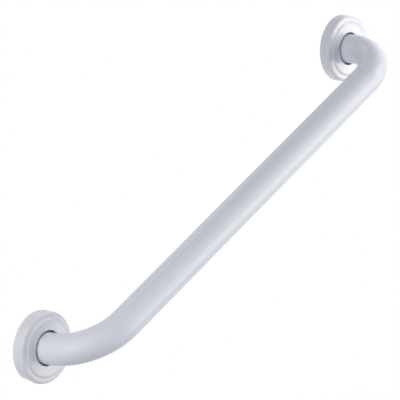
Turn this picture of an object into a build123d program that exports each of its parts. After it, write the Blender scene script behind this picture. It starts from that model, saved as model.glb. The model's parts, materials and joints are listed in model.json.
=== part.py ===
from build123d import *
from math import radians, tan
import os

# Grab bar: a bent steel tube welded into two wall plates, with a loose cover over each plate.
# The wall is the plane Y = 0, and the bar stands out from it towards -Y.
# X runs along the bar, +Z is up, and the origin is on the wall, midway between the two legs.
# All sizes are in millimetres.

# Tube
tube_diameter = 35.0
tube_wall = 1.5
leg_spacing = 600.0
leg_straight = 18.0  # from the wall to the start of the bend
bend_radius = 60.0  # to the middle of the tube

# Covers
cover_diameter = 80.0
cover_wall = 2.0
outer_tier_height = 13.4
outer_tier_width = 6.8  # from the cover's side to the foot of the step
inner_tier_step = 1.6
step_slope = 36.0  # in degrees, from the flat of the tiers
outer_edge_round = 3.8
step_round = 2.5
hole_edge_round = 0.7
cover_hole_gap = 2.2  # all round the tube, so that the cover can slide up the leg

# Ribs inside a cover, which grip the rim of its wall plate
rib_height = 1.2
rib_width = 2.5
rib_lead_in = 0.7
rib_gap = 0.3

# Wall plates
plate_thickness = 3.0
plate_edge_round = 0.6
tube_slip_gap = 0.1
weld_leg = 3.0
weld_crown = 0.4
screw_count = 3
screw_hole_diameter = 6.5
first_screw_angle = 90.0

tube_radius = tube_diameter / 2
bore_radius = tube_radius - tube_wall
leg_x = leg_spacing / 2
wall_to_bar_axis = leg_straight + bend_radius

cover_radius = cover_diameter / 2
cover_inner_radius = cover_radius - cover_wall
cover_hole_radius = tube_radius + cover_hole_gap
cover_depth = outer_tier_height + inner_tier_step
step_foot_radius = cover_radius - outer_tier_width
step_top_radius = step_foot_radius - inner_tier_step / tan(radians(step_slope))

plate_radius = cover_inner_radius - rib_height - rib_gap
weld_foot_radius = tube_radius + weld_leg
screw_circle_radius = (weld_foot_radius + plate_radius) / 2
rib_angle = first_screw_angle + 180 / screw_count


def at_leg(x, shape):
    """Moves a shape made round the Z axis on the XY plane to the leg at x, its Z away from the wall."""
    return Plane(origin=(x, 0, 0), x_dir=(1, 0, 0), z_dir=(0, -1, 0)) * shape


def turned(section):
    """A full turn, about the leg's axis, of a section drawn with X as radius and Y as height."""
    return revolve(Plane.XZ * section, Axis.Z)


def weld_bead():
    """Fillet weld that sits on the front of the plate, with its root in the tube's wall."""
    root_radius = tube_radius - tube_wall / 2
    top = plate_thickness + weld_leg
    toe = (tube_radius, top)
    foot = (weld_foot_radius, plate_thickness)
    crown = SagittaArc(foot, toe, weld_crown)
    sides = Polyline(toe, (root_radius, top), (root_radius, plate_thickness), foot)
    return turned(make_face([crown, sides]))


def make_bar():
    """Hollow tube swept along its centre line, from the wall at one leg to the wall at the other."""
    centre_line = FilletPolyline(
        (-leg_x, 0),
        (-leg_x, -wall_to_bar_axis),
        (leg_x, -wall_to_bar_axis),
        (leg_x, 0),
        radius=bend_radius,
    )
    start = Plane(origin=centre_line @ 0, z_dir=centre_line % 0)
    tube = sweep(start * (Circle(tube_radius) - Circle(bore_radius)), path=centre_line)
    for x in (-leg_x, leg_x):
        tube += at_leg(x, weld_bead())
    return tube


def make_plate():
    """Flat disc against the wall, which the tube passes through, with its ring of screw holes."""
    base = (Align.CENTER, Align.CENTER, Align.MIN)
    disc = Cylinder(plate_radius, plate_thickness, align=base)
    front_edge = disc.edges().group_by(Axis.Z)[-1]
    disc = fillet(front_edge, plate_edge_round)
    disc -= Cylinder(tube_radius + tube_slip_gap, plate_thickness, align=base)
    screw_hole = Cylinder(screw_hole_diameter / 2, plate_thickness, align=base)
    places = PolarLocations(screw_circle_radius, screw_count, start_angle=first_screw_angle)
    disc -= places * screw_hole
    return disc


def cover_shell():
    """Softly stepped cap of even wall, open to the wall and pierced for the tube."""
    step_shift = cover_wall * tan(radians(step_slope) / 2)
    inner_foot_radius = step_foot_radius - step_shift
    inner_top_radius = step_top_radius - step_shift
    section = {
        (cover_radius, 0): 0,
        (cover_radius, outer_tier_height): outer_edge_round,
        (step_foot_radius, outer_tier_height): step_round,
        (step_top_radius, cover_depth): step_round,
        (cover_hole_radius, cover_depth): hole_edge_round,
        (cover_hole_radius, cover_depth - cover_wall): 0,
        (inner_top_radius, cover_depth - cover_wall): max(step_round - cover_wall, 0),
        (inner_foot_radius, outer_tier_height - cover_wall): step_round + cover_wall,
        (cover_inner_radius, outer_tier_height - cover_wall): max(outer_edge_round - cover_wall, 0),
        (cover_inner_radius, 0): 0,
    }
    outline = FilletPolyline(*section.keys(), radius=section.values(), close=True)
    return turned(make_face(outline))


def grip_rib():
    """Upright rib on the inside of the cover's side, tapered at the mouth to lead it over the plate."""
    face_radius = plate_radius + rib_gap
    root_radius = cover_radius - cover_wall / 2
    top = outer_tier_height - outer_edge_round
    outline = Polyline(
        (root_radius, 0),
        (face_radius + rib_lead_in, 0),
        (face_radius, rib_lead_in),
        (face_radius, top),
        (root_radius, top),
        close=True,
    )
    return extrude(Plane.XZ * make_face(outline), rib_width / 2, both=True)


def make_cover():
    """Cover with its ribs, set between the screws."""
    cover = cover_shell()
    places = PolarLocations(0, screw_count, start_angle=rib_angle)
    for place in places:
        cover += place * grip_rib()
    return cover


os.makedirs("parts", exist_ok=True)
export_step(make_bar(), "parts/bar.step")
for side, x in (("left", -leg_x), ("right", leg_x)):
    export_step(at_leg(x, make_plate()), f"parts/{side}_plate.step")
    export_step(at_leg(x, make_cover()), f"parts/{side}_cover.step")
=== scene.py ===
# %% [markdown]
# # A white grab bar, dressed around its CAD frame
#
# The CAD model already holds the sizes, the places and the motion of every piece.
# This lesson loads it as a fixed frame, models a finer mesh for each piece with bmesh operators,
# gives each one its finish, and then sets up the light and the camera.
# The wall is the plane y = 0, the bar stands out towards -y, x runs along it and z is up.

# %% Load the frame
import json
from math import cos, degrees, exp, pi, radians, sin, tan

import bmesh
import bpy
from mathutils import Matrix, Vector


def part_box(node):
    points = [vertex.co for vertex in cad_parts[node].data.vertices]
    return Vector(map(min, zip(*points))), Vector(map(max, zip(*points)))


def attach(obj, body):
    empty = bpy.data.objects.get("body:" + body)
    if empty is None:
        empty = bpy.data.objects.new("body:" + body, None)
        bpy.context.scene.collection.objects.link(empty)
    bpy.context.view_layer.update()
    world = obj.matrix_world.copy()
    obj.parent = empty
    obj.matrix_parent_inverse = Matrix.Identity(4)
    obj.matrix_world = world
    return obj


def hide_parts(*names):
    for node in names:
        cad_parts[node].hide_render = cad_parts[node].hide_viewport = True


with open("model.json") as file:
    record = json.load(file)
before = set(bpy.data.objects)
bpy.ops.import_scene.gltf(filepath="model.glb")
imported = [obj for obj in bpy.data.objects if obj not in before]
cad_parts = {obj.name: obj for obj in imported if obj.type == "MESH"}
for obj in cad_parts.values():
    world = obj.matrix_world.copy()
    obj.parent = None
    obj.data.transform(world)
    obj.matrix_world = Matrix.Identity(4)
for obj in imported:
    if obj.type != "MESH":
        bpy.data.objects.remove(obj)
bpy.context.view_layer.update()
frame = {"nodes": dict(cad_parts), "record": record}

print("nodes:", sorted(frame["nodes"]))

# %% [markdown]
# ## Shared measures
#
# A piece that is modelled again has to lie exactly where its CAD node lies.
# So the sizes come from the nodes' boxes and from the mounts in the record wherever those hold them,
# and each piece's cell adds, in metres, only what lies hidden inside its box.
# The mounts give the place of the two legs and the ring of screws at each.

# %% Read the legs and the screws
mm = 0.001
first_screw_angle = radians(90)

mounts = {mount["name"]: mount for mount in frame["record"]["mounts"]}
leg_x = mounts["right_fixing"]["pos_m"][0]
screws = mounts["right_fixing"]["dims"]
screw_count = screws["count"]
screw_angles = [first_screw_angle + n * 2 * pi / screw_count for n in range(screw_count)]
print(f"legs {2 * leg_x / mm:.0f} mm apart, {screw_count} screws at each")

# %% [markdown]
# ## From a bmesh to a piece
#
# Each piece is modelled in a bmesh and turned into an object once, at the end.
# The round pieces at a leg are modelled about the z axis, with the wall at z = 0,
# because spin and circle are easy to read there. One matrix then lays them on their leg.
# Smooth shading with sharp edges by angle keeps flats flat, and a Weighted Normal modifier
# stops the small rounded edges from bending the light on the large faces beside them.

# %% Helpers for every piece
quarter_turn = radians(90)
sharp_angle = radians(35)
merge_distance = 0.001 * mm


def on_leg(x):
    """Matrix that lays a piece made about the z axis on the leg at x, its z away from the wall."""
    return Matrix.Translation((x, 0, 0)) @ Matrix.Rotation(quarter_turn, 4, "X")


def only(kind, geometry):
    """The vertices, edges or faces out of what an operator gives back."""
    return [part for part in geometry if isinstance(part, kind)]


def close_up(bm):
    """Merges the doubles along the seams and points every face outwards."""
    bmesh.ops.remove_doubles(bm, verts=bm.verts[:], dist=merge_distance)
    bmesh.ops.recalc_face_normals(bm, faces=bm.faces[:])


def finish_piece(name, bm, body, node):
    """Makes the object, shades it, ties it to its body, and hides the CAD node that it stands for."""
    mesh = bpy.data.meshes.new(name)
    bm.to_mesh(mesh)
    bm.free()
    mesh.shade_smooth()
    mesh.set_sharp_from_angle(angle=sharp_angle)
    made = bpy.data.objects.new(name, mesh)
    bpy.context.scene.collection.objects.link(made)
    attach(made, body)
    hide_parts(node)
    print(f"{name}: {len(mesh.vertices)} vertices, {len(mesh.polygons)} faces")
    return made


def weigh_normals(made):
    """Lets the large faces set the shading where they meet a rounded edge."""
    weighted = made.modifiers.new("Weighted normals", "WEIGHTED_NORMAL")
    weighted.keep_sharp = True


print(f"edges of over {degrees(sharp_angle):.0f} degrees stay sharp")

# %% [markdown]
# ## The bent tube
#
# The real bar is one length of steel tube, bent cold round a former at both ends.
# A curve with a round bevel would give the same shape, but here the mesh follows the bender:
# a ring of edges is pulled out from the wall, turned through the bend with spin,
# pulled along the grip, turned again and pulled back to the wall.
# First come the two moves of the bender, each of which hands on the ring at its far end.

# %% The bender's two moves
bend_steps = 40


def pull(bm, ring, travel, steps):
    """Extrudes a ring of edges along a straight line, and gives back the ring at the far end."""
    for _ in range(steps):
        made = bmesh.ops.extrude_edge_only(bm, edges=ring)["geom"]
        new_verts = only(bmesh.types.BMVert, made)
        bmesh.ops.translate(bm, verts=new_verts, vec=travel / steps)
        ends = set(new_verts)
        ring = [edge for edge in only(bmesh.types.BMEdge, made) if ends.issuperset(edge.verts)]
    return ring


def turn(bm, ring, centre):
    """Spins a ring of edges through one bend, and gives back the ring at the far end."""
    made = bmesh.ops.spin(
        bm, geom=ring, cent=centre, axis=(0, 0, 1), angle=quarter_turn, steps=bend_steps
    )
    return only(bmesh.types.BMEdge, made["geom_last"])


print(f"a bend has steps of {degrees(quarter_turn) / bend_steps:.2f} degrees")

# %% [markdown]
# The bar's box gives how far the tube stands out from the wall, and with that the radius of its bends.
# A Solidify modifier gives the tube its wall, with a second material on the inside,
# because the coating doesn't reach far into the bore.

# %% Bend the tube
bar_low, bar_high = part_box("bar")
tube_radius = 17.5 * mm
tube_wall = 1.5 * mm
leg_straight = 18 * mm
bend_radius = -bar_low.y - tube_radius - leg_straight
grip_length = 2 * (leg_x - bend_radius)
tube_sides = 128
leg_steps = 6
grip_steps = 40

bm = bmesh.new()
bmesh.ops.create_circle(bm, segments=tube_sides, radius=tube_radius, matrix=on_leg(-leg_x))
ring = pull(bm, bm.edges[:], Vector((0, -leg_straight, 0)), leg_steps)
ring = turn(bm, ring, (-leg_x + bend_radius, -leg_straight, 0))
ring = pull(bm, ring, Vector((grip_length, 0, 0)), grip_steps)
ring = turn(bm, ring, (leg_x - bend_radius, -leg_straight, 0))
pull(bm, ring, Vector((0, leg_straight, 0)), leg_steps)
bmesh.ops.recalc_face_normals(bm, faces=bm.faces[:])

bent_tube = finish_piece("bent_tube", bm, "bar", "bar")
wall = bent_tube.modifiers.new("Tube wall", "SOLIDIFY")
wall.thickness = tube_wall
wall.offset = -1
wall.use_even_offset = True
wall.material_offset = 1
print(f"bend radius {bend_radius / mm:.1f} mm, straight grip {grip_length / mm:.0f} mm")

# %% [markdown]
# ## The weld beads
#
# Each end of the tube goes through its wall plate and is welded to the plate's front.
# A welded bead isn't a smooth ring: the pool freezes in overlapping crescents, and there is a small
# lump where the run closes on its start. A bump texture could draw that, but the bead's edge would
# stay smooth. So the ring is spun fine enough for its vertices to be moved, by the height worked out here.

# %% The surface of a welded run
ripples = 66
ripple_height = 0.1 * mm
ripple_lag = 0.9
bead_crown = 0.4 * mm
closing_lump = 0.25 * mm
closing_angle = radians(-70)
closing_width = 0.16


def bead_rise(angle, belly):
    """How far the bead stands out, at an angle round the leg and for a belly of 0 at its edges to 1."""
    ripple = sin(ripples * angle + ripple_lag * pi * (1 - belly))
    past_closing = (angle - closing_angle) / closing_width
    lump = exp(-past_closing * past_closing)
    return belly * (bead_crown + ripple_height * ripple + closing_lump * lump)


print(f"at its closing lump a bead rises by {bead_rise(closing_angle, 1) / mm:.2f} mm")

# %% [markdown]
# The bead's section is a triangle between tube and plate, with a short root inside the tube's wall.
# Its sloping face is cut into strips before the spin, so that there are vertices to move.
# The plate's box and the bar's box give the size of the bead.

# %% Model the beads
plate_low, plate_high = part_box("right_plate")
plate_thickness = plate_high.y - plate_low.y
weld_leg = bar_high.x - leg_x - tube_radius
bead_root = 0.4 * mm
bead_cuts = 9
steps_per_ripple = 6
edge_margin = 0.02


def weld_bead(name, x):
    """A fillet bead spun round the leg, then moved into the crescents of a welded run."""
    bm = bmesh.new()
    toe = bm.verts.new((tube_radius, 0, plate_thickness + weld_leg))
    foot = bm.verts.new((tube_radius + weld_leg, 0, plate_thickness))
    root = bm.verts.new((tube_radius - bead_root, 0, plate_thickness))
    top = bm.verts.new((tube_radius - bead_root, 0, plate_thickness + weld_leg))
    face_edge = bm.edges.new((toe, foot))
    for pair in ((foot, root), (root, top), (top, toe)):
        bm.edges.new(pair)
    bmesh.ops.subdivide_edges(bm, edges=[face_edge], cuts=bead_cuts)
    bmesh.ops.spin(
        bm, geom=bm.edges[:], cent=(0, 0, 0), axis=(0, 0, 1), angle=2 * pi,
        steps=ripples * steps_per_ripple, use_merge=True,
    )
    close_up(bm)
    for vert in bm.verts:
        around = vert.co.xy
        across = (around.length - tube_radius) / weld_leg
        if edge_margin < across < 1 - edge_margin:
            angle = around.angle_signed(Vector((1, 0)))
            belly = 4 * across * (1 - across)
            outward = Vector((*around.normalized(), 1)).normalized()
            vert.co += outward * bead_rise(angle, belly)
    bmesh.ops.transform(bm, matrix=on_leg(x), verts=bm.verts[:])
    return finish_piece(name, bm, "bar", "bar")


beads = [weld_bead("left_weld_bead", -leg_x), weld_bead("right_weld_bead", leg_x)]

# %% [markdown]
# ## The wall plates
#
# A wall plate is a flat disc, stamped from sheet, with a hole for the tube and a ring of screw holes.
# It could be a cylinder with holes cut by booleans, which leaves long thin faces at random.
# Instead the outline and the holes are drawn as circles, the sheet between them is filled once,
# and an extrude gives the thickness. The stamped edges are rounded with a small bevel.

# %% Model the wall plates
plate_radius = (plate_high.x - plate_low.x) / 2
screw_circle_radius = screws["pcd_mm"] * mm / 2
screw_hole_radius = screws["hole_r_mm"] * mm
tube_slip_gap = 0.1 * mm
plate_edge_round = 0.6 * mm
plate_edge_strips = 4
hole_edge_break = 0.25 * mm
hole_edge_strips = 2
plate_sides = 128
screw_hole_sides = 40


def rounded(bm, edges, setback, strips):
    """Rounds edges with an arc of some strips, which starts at a setback on both faces beside them."""
    bmesh.ops.bevel(
        bm, geom=edges, offset=setback, offset_type="OFFSET", segments=strips,
        profile=0.5, affect="EDGES", clamp_overlap=True, material=-1,
    )


def wall_plate(name, x, node):
    """A stamped disc: circles filled to a sheet, extruded, and its front edges rounded."""
    bm = bmesh.new()
    circles = [((0, 0), plate_radius, plate_sides), ((0, 0), tube_radius + tube_slip_gap, plate_sides)]
    for angle in screw_angles:
        place = (screw_circle_radius * cos(angle), screw_circle_radius * sin(angle))
        circles.append((place, screw_hole_radius, screw_hole_sides))
    for place, radius, sides in circles:
        at = Matrix.Translation((*place, 0))
        bmesh.ops.create_circle(bm, segments=sides, radius=radius, matrix=at)
    bmesh.ops.triangle_fill(bm, use_beauty=True, edges=bm.edges[:])
    front = bmesh.ops.extrude_face_region(bm, geom=bm.faces[:])["geom"]
    bmesh.ops.translate(bm, verts=only(bmesh.types.BMVert, front), vec=(0, 0, plate_thickness))
    bmesh.ops.recalc_face_normals(bm, faces=bm.faces[:])
    front_edges = [edge for edge in bm.edges if edge.verts[0].co.z > 0 and edge.verts[1].co.z > 0]
    corners = [edge for edge in front_edges if edge.calc_face_angle() > sharp_angle]
    rim = [edge for edge in corners if edge.verts[0].co.xy.length > plate_radius - merge_distance]
    holes = [edge for edge in corners if edge not in rim]
    rounded(bm, rim, plate_edge_round, plate_edge_strips)
    rounded(bm, holes, hole_edge_break, hole_edge_strips)
    bmesh.ops.transform(bm, matrix=on_leg(x), verts=bm.verts[:])
    made = finish_piece(name, bm, "bar", node)
    weigh_normals(made)
    return made


plates = [
    wall_plate("left_wall_disc", -leg_x, "left_plate"),
    wall_plate("right_wall_disc", leg_x, "right_plate"),
]

# %% [markdown]
# ## The covers
#
# Each cover is a moulded cap in two shallow tiers with a soft slope between them, loose on the leg,
# with upright ribs inside that guide it onto the rim of the wall plate. The section could be drawn with
# all its curves, but corners are easier to read: the corners are listed here as radius and height,
# and each gets its rounding later. The inner corners follow from the outer ones and the even wall.

# %% Draw the section of a cover
cover_low, cover_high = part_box("right_cover")
cover_depth = cover_high.y - cover_low.y
cover_radius = (cover_high.x - cover_low.x) / 2
cover_wall = 2 * mm
cover_hole_gap = 2.2 * mm
outer_tier_height = 13.4 * mm
outer_tier_width = 6.8 * mm
step_slope = radians(36)
half_slope = tan(step_slope / 2)

hole_radius = tube_radius + cover_hole_gap
foot_radius = cover_radius - outer_tier_width
top_radius = foot_radius - (cover_depth - outer_tier_height) / tan(step_slope)
inner_radius = cover_radius - cover_wall
inner_foot_radius = foot_radius - cover_wall * half_slope
inner_top_radius = top_radius - cover_wall * half_slope

side_corner = (cover_radius, outer_tier_height)
step_foot = (foot_radius, outer_tier_height)
step_top = (top_radius, cover_depth)
hole_corner = (hole_radius, cover_depth)
inner_top = (inner_top_radius, cover_depth - cover_wall)
inner_foot = (inner_foot_radius, outer_tier_height - cover_wall)
inner_corner = (inner_radius, outer_tier_height - cover_wall)
side_mouth = (cover_radius, 0)
inner_mouth = (inner_radius, 0)
print(f"cover {2 * cover_radius / mm:.0f} mm wide, {cover_depth / mm:.0f} mm deep")

# %% [markdown]
# A round edge of a given radius starts some way back from its corner: by the radius itself at a square
# corner, and by less at the soft corners of the step, where the wall turns only through the slope's angle.
# Where the wall turns, its two faces have one centre, so inside and outside radius differ by the wall.
# Beside each setback is the number of strips that make up the arc: more on the large and visible ones.

# %% Set the roundings
outer_edge_round = 3.8 * mm
step_round = 2.5 * mm
hole_edge_round = 0.7 * mm
mouth_edge_break = 0.2 * mm

roundings = {
    side_corner: (outer_edge_round, 12),
    step_foot: (step_round * half_slope, 6),
    step_top: (step_round * half_slope, 6),
    hole_corner: (hole_edge_round, 6),
    inner_top: ((step_round - cover_wall) * half_slope, 3),
    inner_foot: ((step_round + cover_wall) * half_slope, 6),
    inner_corner: (outer_edge_round - cover_wall, 6),
    side_mouth: (mouth_edge_break, 2),
}
print(f"{len(roundings)} rounded corners in the section")

# %% [markdown]
# The section is the same all the way round, apart from the ribs. So it is turned in stretches: a short one
# with the rib in its section, and a long plain one up to the next rib. The flat sides of the ribs are
# filled in afterwards. Only then are the ring edges rounded, so that each bevel runs all the way round.

# %% Tools for turning a cover
rib_steps = 2
plain_steps = 62
step_angle = 2 * pi / screw_count / (rib_steps + plain_steps)
corner_reach = 0.01 * mm


def drawn(bm, points, angle):
    """Vertices of a section, given as radius and height, in the upright plane at an angle."""
    return [bm.verts.new((r * cos(angle), r * sin(angle), h)) for r, h in points]


def turned(bm, points, start, steps):
    """Turns a closed section about the leg's axis, from a start angle and over some steps."""
    corners = drawn(bm, points, start)
    outline = [bm.edges.new(pair) for pair in zip(corners, corners[1:] + corners[:1])]
    bmesh.ops.spin(
        bm, geom=outline, cent=(0, 0, 0), axis=(0, 0, 1), angle=steps * step_angle, steps=steps
    )


def ring_edges(bm, corner):
    """The edges that run round the leg at one corner of the section."""
    radius, height = corner

    def is_there(vert):
        return abs(vert.co.xy.length - radius) + abs(vert.co.z - height) < corner_reach

    return [edge for edge in bm.edges if is_there(edge.verts[0]) and is_there(edge.verts[1])]


print(f"a cover is turned in steps of {degrees(step_angle):.3f} degrees")

# %% [markdown]
# The ribs stand between the screws, where there is room for them. Each reaches up to the start of the
# rounded corner and is cut back at the mouth, so that it leads the cover over the rim of the plate.

# %% Model the covers
rib_height = 1.2 * mm
rib_lead_in = 0.7 * mm
rib_radius = inner_radius - rib_height
rib_top = outer_tier_height - outer_edge_round

tiers = [
    side_mouth, side_corner, step_foot, step_top, hole_corner,
    (hole_radius, cover_depth - cover_wall), inner_top, inner_foot, inner_corner, (inner_radius, rib_top),
]
rib_wall = [(rib_radius, rib_top), (rib_radius, rib_lead_in), (rib_radius + rib_lead_in, 0)]
rib_side = [(inner_radius, rib_top), *rib_wall, inner_mouth]


def cap(name, x, body, node):
    """A stepped cap with its ribs, rounded where the moulding is."""
    bm = bmesh.new()
    for screw_angle in screw_angles:
        rib_start = screw_angle + pi / screw_count - rib_steps * step_angle / 2
        rib_end = rib_start + rib_steps * step_angle
        turned(bm, [*tiers, *rib_wall, inner_mouth], rib_start, rib_steps)
        turned(bm, [*tiers, inner_mouth], rib_end, plain_steps)
        for angle in (rib_start, rib_end):
            bm.faces.new(drawn(bm, rib_side, angle))
    close_up(bm)
    for corner, (setback, strips) in roundings.items():
        rounded(bm, ring_edges(bm, corner), setback, strips)
    print(f"{name}: {sum(not edge.is_manifold for edge in bm.edges)} open edges")
    bmesh.ops.transform(bm, matrix=on_leg(x), verts=bm.verts[:])
    made = finish_piece(name, bm, body, node)
    weigh_normals(made)
    return made


caps = [
    cap("left_cap", -leg_x, "left_cover", "left_cover"),
    cap("right_cap", leg_x, "right_cover", "right_cover"),
]

# %% [markdown]
# ## Shared surface effects
#
# Two effects are in every finish on this object: a fine relief, which breaks up the gloss,
# and a slow drift of shade, because no coated or moulded surface is quite even.
# They are node groups, so that each finish places them with its own scale.
# Both read Object coordinates: the pieces sit at the origin, so the pattern stays put and has real sizes.

# %% Helpers for node trees


def add_node(tree, kind, inputs=None, **options):
    """Adds a node, sets its options, and fills or links its inputs by name."""
    made = tree.nodes.new(kind)
    for name, value in options.items():
        setattr(made, name, value)
    for name, value in (inputs or {}).items():
        if isinstance(value, bpy.types.NodeSocket):
            tree.links.new(value, made.inputs[name])
        else:
            made.inputs[name].default_value = value
    return made


def calculate(tree, operation, *values):
    """Adds a Math node on some numbers or sockets, and gives back its result."""
    return add_node(tree, "ShaderNodeMath", dict(enumerate(values)), operation=operation).outputs[0]


def new_group(name, inputs, output):
    """An empty node group with number inputs and one number output."""
    tree = bpy.data.node_groups.new(name, "ShaderNodeTree")
    for socket in inputs:
        tree.interface.new_socket(socket, in_out="INPUT", socket_type="NodeSocketFloat")
    tree.interface.new_socket(output, in_out="OUTPUT", socket_type="NodeSocketFloat")
    given = add_node(tree, "NodeGroupInput").outputs
    coords = add_node(tree, "ShaderNodeTexCoord").outputs["Object"]
    return tree, given, coords


# %% [markdown]
# The relief is one soft noise with a finer one on it: Grit says how much of the finer one shows.
# The drift is a single cloudy noise. Both take their scale as waves per metre.

# %% Build the relief and the drift
finer_by = 4.0

fine_relief, given, coords = new_group("fine_relief", ["Per metre", "Grit"], "Height")
swell = add_node(
    fine_relief, "ShaderNodeTexNoise",
    {"Vector": coords, "Scale": given["Per metre"], "Detail": 1.0},
).outputs["Fac"]
grit_scale = calculate(fine_relief, "MULTIPLY", given["Per metre"], finer_by)
grit = add_node(
    fine_relief, "ShaderNodeTexNoise", {"Vector": coords, "Scale": grit_scale, "Detail": 2.0}
).outputs["Fac"]
height = calculate(fine_relief, "MULTIPLY_ADD", grit, given["Grit"], swell)
add_node(fine_relief, "NodeGroupOutput", {"Height": height})

shade_drift, given, coords = new_group("shade_drift", ["Per metre"], "Shade")
cloud = add_node(
    shade_drift, "ShaderNodeTexNoise",
    {"Vector": coords, "Scale": given["Per metre"], "Detail": 3.0, "Roughness": 0.55},
).outputs["Fac"]
add_node(shade_drift, "NodeGroupOutput", {"Shade": cloud})
print("node groups:", fine_relief.name, shade_drift.name)

# %% [markdown]
# ## From the effects to a finish
#
# Every finish on this object has a colour that drifts between two shades, a gloss and a relief.
# Each finish could be wired by hand, but then the same nodes would be written three times.
# Writing each layer once, as a small function, leaves only the values that tell the finishes apart.

# %% Helpers for the finishes


def new_finish(name):
    """An empty material with its shader and output, ready for a finish."""
    material = bpy.data.materials.new(name)
    material.use_nodes = True
    tree = material.node_tree
    tree.nodes.clear()
    shader = add_node(tree, "ShaderNodeBsdfPrincipled")
    add_node(tree, "ShaderNodeOutputMaterial", {"Surface": shader.outputs["BSDF"]})
    return material, tree, shader


def drift_of(tree, per_metre):
    """The drift of shade, with so many waves per metre."""
    inputs = {"Per metre": per_metre}
    return add_node(tree, "ShaderNodeGroup", node_tree=shade_drift, inputs=inputs).outputs["Shade"]


def between(tree, factor, first, second):
    """A colour between two others."""
    inputs = {"Factor": factor, "A": first, "B": second}
    return add_node(tree, "ShaderNodeMix", inputs, data_type="RGBA").outputs["Result"]


def lay_colour(tree, shader, per_metre, shades, roughness):
    """Lets the colour and the roughness of a shader drift together, each between two values."""
    drift = drift_of(tree, per_metre)
    least, most = roughness
    inputs = {"Value": drift, "To Min": least, "To Max": most}
    spread = add_node(tree, "ShaderNodeMapRange", inputs).outputs["Result"]
    tree.links.new(between(tree, drift, *shades), shader.inputs["Base Color"])
    tree.links.new(spread, shader.inputs["Roughness"])


def lay_relief(tree, shader, per_metre, grit, strength, depth):
    """Puts the fine relief on a shader as bump."""
    inputs = {"Per metre": per_metre, "Grit": grit}
    height = add_node(tree, "ShaderNodeGroup", node_tree=fine_relief, inputs=inputs).outputs["Height"]
    bump = add_node(tree, "ShaderNodeBump", {"Strength": strength, "Distance": depth, "Height": height})
    tree.links.new(bump.outputs["Normal"], shader.inputs["Normal"])


# %% [markdown]
# ## White coating
#
# The steel is sprayed with powder and baked, which gives a smooth, cool white film with a satin gloss.
# The film levels into a faint orange peel a few millimetres across, so highlights have soft edges.
# One relief group gives the peel, and one drift group moves the colour and the roughness a little.

# %% Make the coating
coating_deep = (0.782, 0.822, 0.905, 1)
coating_pale = (0.812, 0.852, 0.935, 1)
coating_roughness = (0.36, 0.46)
coating_clouds = 14.0
peel_waves = 380.0
peel_depth = 0.02 * mm

coating, tree, shader = new_finish("white_coating_finish")
lay_colour(tree, shader, coating_clouds, (coating_deep, coating_pale), coating_roughness)
lay_relief(tree, shader, peel_waves, grit=0.12, strength=0.35, depth=peel_depth)
print("made", coating.name)

# %% [markdown]
# ## Cover plastic
#
# The covers are moulded in a neutral white plastic, glossier than the coating and a little warmer.
# A polished mould leaves almost no texture, only a very slight unevenness where the plastic shrank.
# So the layers are those of the coating, with finer clouds, a higher gloss and a longer, flatter relief.

# %% Make the plastic
plastic_deep = (0.797, 0.818, 0.884, 1)
plastic_pale = (0.821, 0.842, 0.900, 1)
plastic_roughness = (0.22, 0.30)
plastic_clouds = 40.0
shrink_waves = 150.0
shrink_depth = 0.02 * mm

plastic, tree, shader = new_finish("cover_plastic_finish")
lay_colour(tree, shader, plastic_clouds, (plastic_deep, plastic_pale), plastic_roughness)
lay_relief(tree, shader, shrink_waves, grit=0.05, strength=0.25, depth=shrink_depth)
print("made", plastic.name)

# %% [markdown]
# ## Bare bore
#
# Powder drifts only a little way into the tube, so the bore fades from white to bare drawn steel.
# The fade follows the distance from the wall, which is simply the y of the Object coordinates,
# and the drift is added to it so that its edge is ragged.

# %% Make the bore's steel
steel_dark = (0.20, 0.195, 0.19, 1)
steel_pale = (0.42, 0.42, 0.43, 1)
steel_clouds = 120.0
steel_roughness = 0.5
overspray_depth = 16 * mm
overspray_edge = {"From Min": 0.65, "From Max": 1.2}
mill_waves = 700.0
mill_depth = 0.03 * mm

bore, tree, shader = new_finish("bare_bore_finish")
coords = add_node(tree, "ShaderNodeTexCoord").outputs["Object"]
depth = add_node(tree, "ShaderNodeSeparateXYZ", {"Vector": coords}).outputs["Y"]
drift = drift_of(tree, steel_clouds)
reach = calculate(tree, "MULTIPLY_ADD", depth, 1 / overspray_depth, 1.0)
ragged = calculate(tree, "ADD", reach, drift)
powder = add_node(tree, "ShaderNodeMapRange", {"Value": ragged, **overspray_edge}).outputs["Result"]
steel = between(tree, drift, steel_dark, steel_pale)
tree.links.new(between(tree, powder, steel, coating_deep), shader.inputs["Base Color"])
tree.links.new(calculate(tree, "SUBTRACT", 1.0, powder), shader.inputs["Metallic"])
shader.inputs["Roughness"].default_value = steel_roughness
lay_relief(tree, shader, mill_waves, grit=0.5, strength=0.5, depth=mill_depth)
print("made", bore.name)

# %% [markdown]
# ## Finishes on the pieces
#
# The bar is coated after it is welded, so the tube, its beads and the plates share one skin.
# The tube takes two materials: the second is the one that its Solidify modifier gives to the bore.

# %% Put the finishes on
for material in (coating, bore):
    bent_tube.data.materials.append(material)
for made in beads + plates:
    made.data.materials.append(coating)
for made in caps:
    made.data.materials.append(plastic)
print("coated:", [made.name for made in (bent_tube, *beads, *plates)])

# %% [markdown]
# ## Floor
#
# A grab bar is fixed to a wall at about the height of a hand, so the floor lies well below it.
# A large square of floor would show its edges in some views, and a backdrop would hide the bar in others.
# So the floor is a disc, which will fade out at its rim. It belongs to the studio and not to the object.

# %% Lay the floor
floor_drop = 0.9
floor_radius = 0.85
floor_sides = 96

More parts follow.
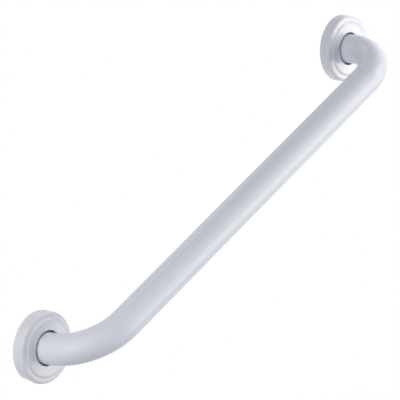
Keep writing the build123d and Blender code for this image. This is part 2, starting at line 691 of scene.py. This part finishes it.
bm = bmesh.new()
below = Matrix.Translation((0, 0, -floor_drop))
bmesh.ops.create_circle(bm, cap_ends=True, segments=floor_sides, radius=floor_radius, matrix=below)
floor_mesh = bpy.data.meshes.new("floor")
bm.to_mesh(floor_mesh)
bm.free()
floor = bpy.data.objects.new("floor", floor_mesh)
bpy.context.scene.collection.objects.link(floor)
print(f"floor {floor_drop} m below the bar, {2 * floor_radius:.1f} m wide")

# %% [markdown]
# The floor is dull pale paint with some light of its own. That light shows only to the camera,
# in reflections and through glass, so the floor keeps the bar's shadow and doesn't light the bar.
# From below it is clear, so that it never hides the bar.

# %% Paint the floor
floor_fade = 0.5
floor_glow = 0.55
floor_paint = (0.8, 0.8, 0.8, 1)
floor_roughness = 0.9
floor_gloss = 0.1
white = (1, 1, 1, 1)


def seen_rays(tree):
    """A mask of the rays that show the surroundings: those of the camera, of reflections and of glass."""
    path = add_node(tree, "ShaderNodeLightPath").outputs
    straight_or_mirrored = calculate(tree, "MAXIMUM", path["Is Camera Ray"], path["Is Glossy Ray"])
    return calculate(tree, "MAXIMUM", straight_or_mirrored, path["Is Transmission Ray"])


floor_finish, tree, shader = new_finish("pale_floor")
shader.inputs["Base Color"].default_value = floor_paint
shader.inputs["Roughness"].default_value = floor_roughness
shader.inputs["Specular IOR Level"].default_value = floor_gloss
shader.inputs["Emission Color"].default_value = white
glow = calculate(tree, "MULTIPLY", seen_rays(tree), floor_glow)
tree.links.new(glow, shader.inputs["Emission Strength"])
coords = add_node(tree, "ShaderNodeTexCoord").outputs["Object"]
flat = add_node(tree, "ShaderNodeVectorMath", {0: coords, 1: (1, 1, 0)}, operation="MULTIPLY").outputs[0]
reach = add_node(tree, "ShaderNodeVectorMath", {0: flat}, operation="LENGTH").outputs["Value"]
fade = add_node(
    tree, "ShaderNodeMapRange",
    {"Value": reach, "From Min": floor_radius, "From Max": floor_radius - floor_fade},
    interpolation_type="SMOOTHSTEP",
).outputs["Result"]
from_below = add_node(tree, "ShaderNodeNewGeometry").outputs["Backfacing"]
from_above = calculate(tree, "SUBTRACT", 1.0, from_below)
tree.links.new(calculate(tree, "MULTIPLY", fade, from_above), shader.inputs["Alpha"])
floor_mesh.materials.append(floor_finish)
print("painted the floor with", floor_finish.name)

# %% [markdown]
# ## Background
#
# A white object on a white ground needs care: with the ground's full light on it, the bar would look flat.
# So the world is white for the rays that show it, and only a weak, even light for all the others.
# The even light is a little cool and the lamps are a little warm, as in a studio with pale walls,
# so the shaded side of the tube turns bluish while its bright side stays white.

# %% Light the background
ambient = (0.268, 0.276, 0.298, 1)

world = bpy.data.worlds.new("studio")
bpy.context.scene.world = world
world.use_nodes = True
tree = world.node_tree
tree.nodes.clear()
shown = between(tree, seen_rays(tree), ambient, white)
background = add_node(tree, "ShaderNodeBackground", {"Color": shown})
add_node(tree, "ShaderNodeOutputWorld", {"Surface": background.outputs["Background"]})
print("even light on the object:", ambient[:3])

# %% [markdown]
# ## Light
#
# Soft light shows a round tube as a smooth run of tones, so every lamp is a square softbox that is
# turned to the middle of the bar. One large key stands low in front and to the right: the front of the
# tube is bright, and its top falls off. Two more at the right light that end and the covers' faces.
# Weak ones in front, at the left and above lift the shaded side, and two far behind the wall plane
# draw an edge on the tube's back and light the backs of the plates.

# %% Set the lamps
bar_middle = Vector((0, -0.04, 0))
lamp_colour = (1.0, 0.955, 0.92)
softboxes = {
    "key_softbox": {"place": (1.45, -1.75, -0.80), "size": 1.45, "watts": 28.4},
    "right_softbox": {"place": (2.05, -1.25, 0.20), "size": 0.45, "watts": 10.9},
    "far_softbox": {"place": (2.35, 0.40, 0.20), "size": 1.45, "watts": 9.6},
    "front_softbox": {"place": (-0.75, -2.15, -0.80), "size": 0.45, "watts": 2.7},
    "left_softbox": {"place": (-2.35, 0.40, 0.20), "size": 0.45, "watts": 3.0},
    "fill_softbox": {"place": (-1.00, -0.20, 0.60), "size": 0.20, "watts": 2.8},
    "top_softbox": {"place": (-0.60, -0.15, 1.05), "size": 0.70, "watts": 2.2},
    "back_softbox": {"place": (0.65, 0.75, 0.60), "size": 0.20, "watts": 0.7},
    "rear_softbox": {"place": (0.00, 1.25, -1.05), "size": 0.90, "watts": 3.1},
}

for name, setting in softboxes.items():
    lamp = bpy.data.lights.new(name, "AREA")
    lamp.shape = "SQUARE"
    lamp.size = setting["size"]
    lamp.energy = setting["watts"]
    lamp.color = lamp_colour
    softbox = bpy.data.objects.new(name, lamp)
    softbox.location = setting["place"]
    softbox.rotation_euler = (bar_middle - softbox.location).to_track_quat("-Z", "Y").to_euler()
    softbox.visible_camera = False
    bpy.context.scene.collection.objects.link(softbox)
print("lamps:", list(softboxes))

# %% [markdown]
# ## Camera
#
# The picture is taken from the left and well above the bar, through a long lens, with the camera rolled.
# The camera is placed by its angles about the point of the wall that lies in the middle of the picture,
# because angles can be read off the object more easily than a place and a rotation.

# %% Place the camera
picture_centre = Vector((-0.0032, 0, -0.0143))
camera_azimuth = radians(-42.65)
camera_elevation = radians(30.29)
camera_roll = radians(19.96)
camera_distance = 3.060
camera_lens = 239.3
sensor_width = 36

back = Vector((
    sin(camera_azimuth) * cos(camera_elevation),
    -cos(camera_azimuth) * cos(camera_elevation),
    sin(camera_elevation),
))
camera = bpy.data.objects.new("camera", bpy.data.cameras.new("camera"))
camera.data.sensor_width = sensor_width
camera.data.lens = camera_lens
camera.rotation_mode = "QUATERNION"
camera.location = picture_centre + back * camera_distance
level = (-back).to_track_quat("-Z", "Y")
camera.rotation_quaternion = level @ Matrix.Rotation(-camera_roll, 3, "Z").to_quaternion()
bpy.context.scene.collection.objects.link(camera)
bpy.context.scene.camera = camera
bpy.context.scene.view_settings.view_transform = "Standard"
print(f"camera {camera_distance:.2f} m away, lens {camera_lens} mm")
